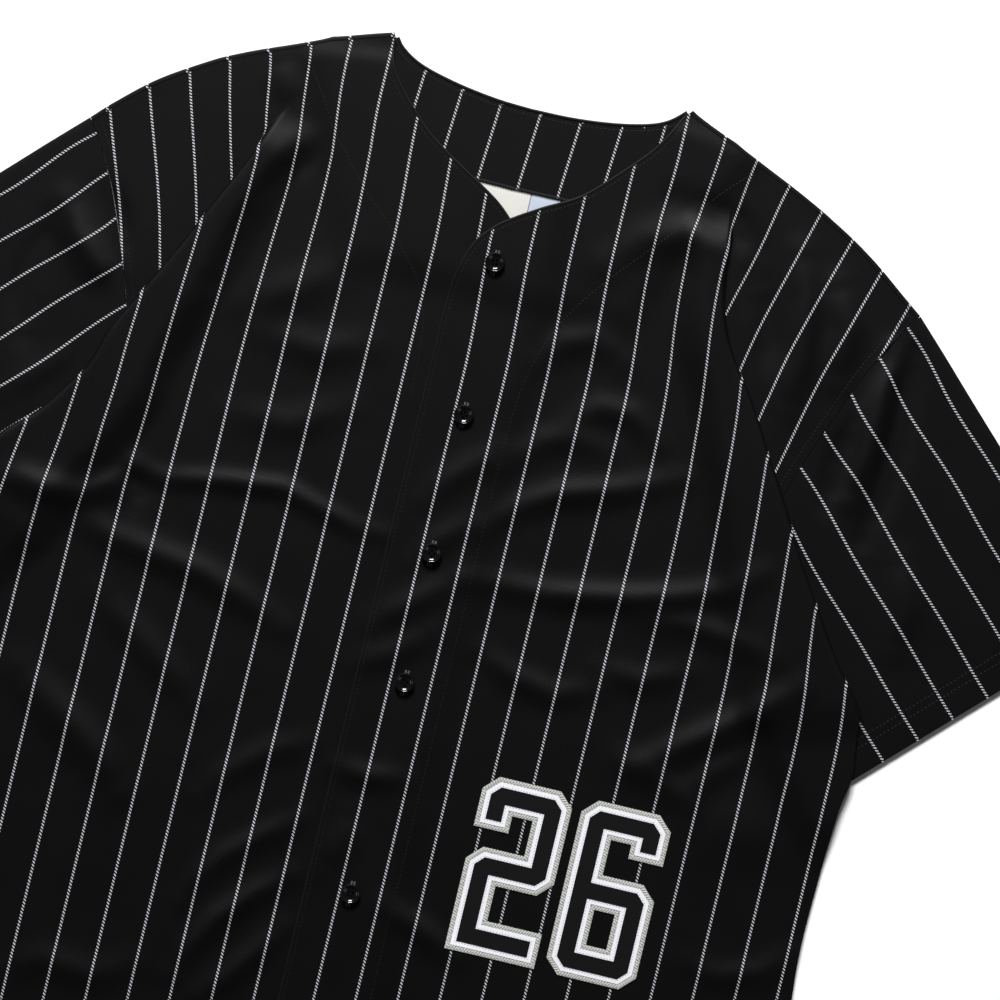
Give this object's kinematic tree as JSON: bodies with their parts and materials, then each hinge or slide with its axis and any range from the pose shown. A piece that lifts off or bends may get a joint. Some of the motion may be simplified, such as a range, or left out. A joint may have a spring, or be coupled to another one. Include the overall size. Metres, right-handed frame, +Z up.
{
  "type": "baseball jersey",
  "caption": "Short-sleeved baseball jersey with a full button front, laid flat on its back with its arms turned down.",
  "frame": {"origin": "on the surface that the garment lies on, under the middle of its outline", "axes": "+X to the wearer's left, +Y to the neck, +Z up from the surface"},
  "size_m": [0.846, 0.749, 0.0103],
  "materials": {
    "cloth": "black polyester with white pinstripes, slightly satin",
    "piping": "black rolled edge, slightly satin",
    "label": "white woven label, bare",
    "tab": "pale blue-white woven tab, bare",
    "number": "black twill with white and silver-grey bands",
    "button": "glossy black"
  },
  "bodies": {
    "root": {"back_panel": "cloth", "back_neck_facing": "cloth", "front_left": "cloth", "front_right": "cloth", "sleeve_left": "cloth", "sleeve_right": "cloth", "piping_left": "piping", "piping_right": "piping", "piping_back": "piping", "neck_label": "label", "size_tab": "tab", "number_2": "number", "number_6": "number", "button_1": "button", "button_2": "button", "button_3": "button", "button_4": "button", "button_5": "button", "button_6": "button", "button_7": "button"}
  },
  "joints": []
}
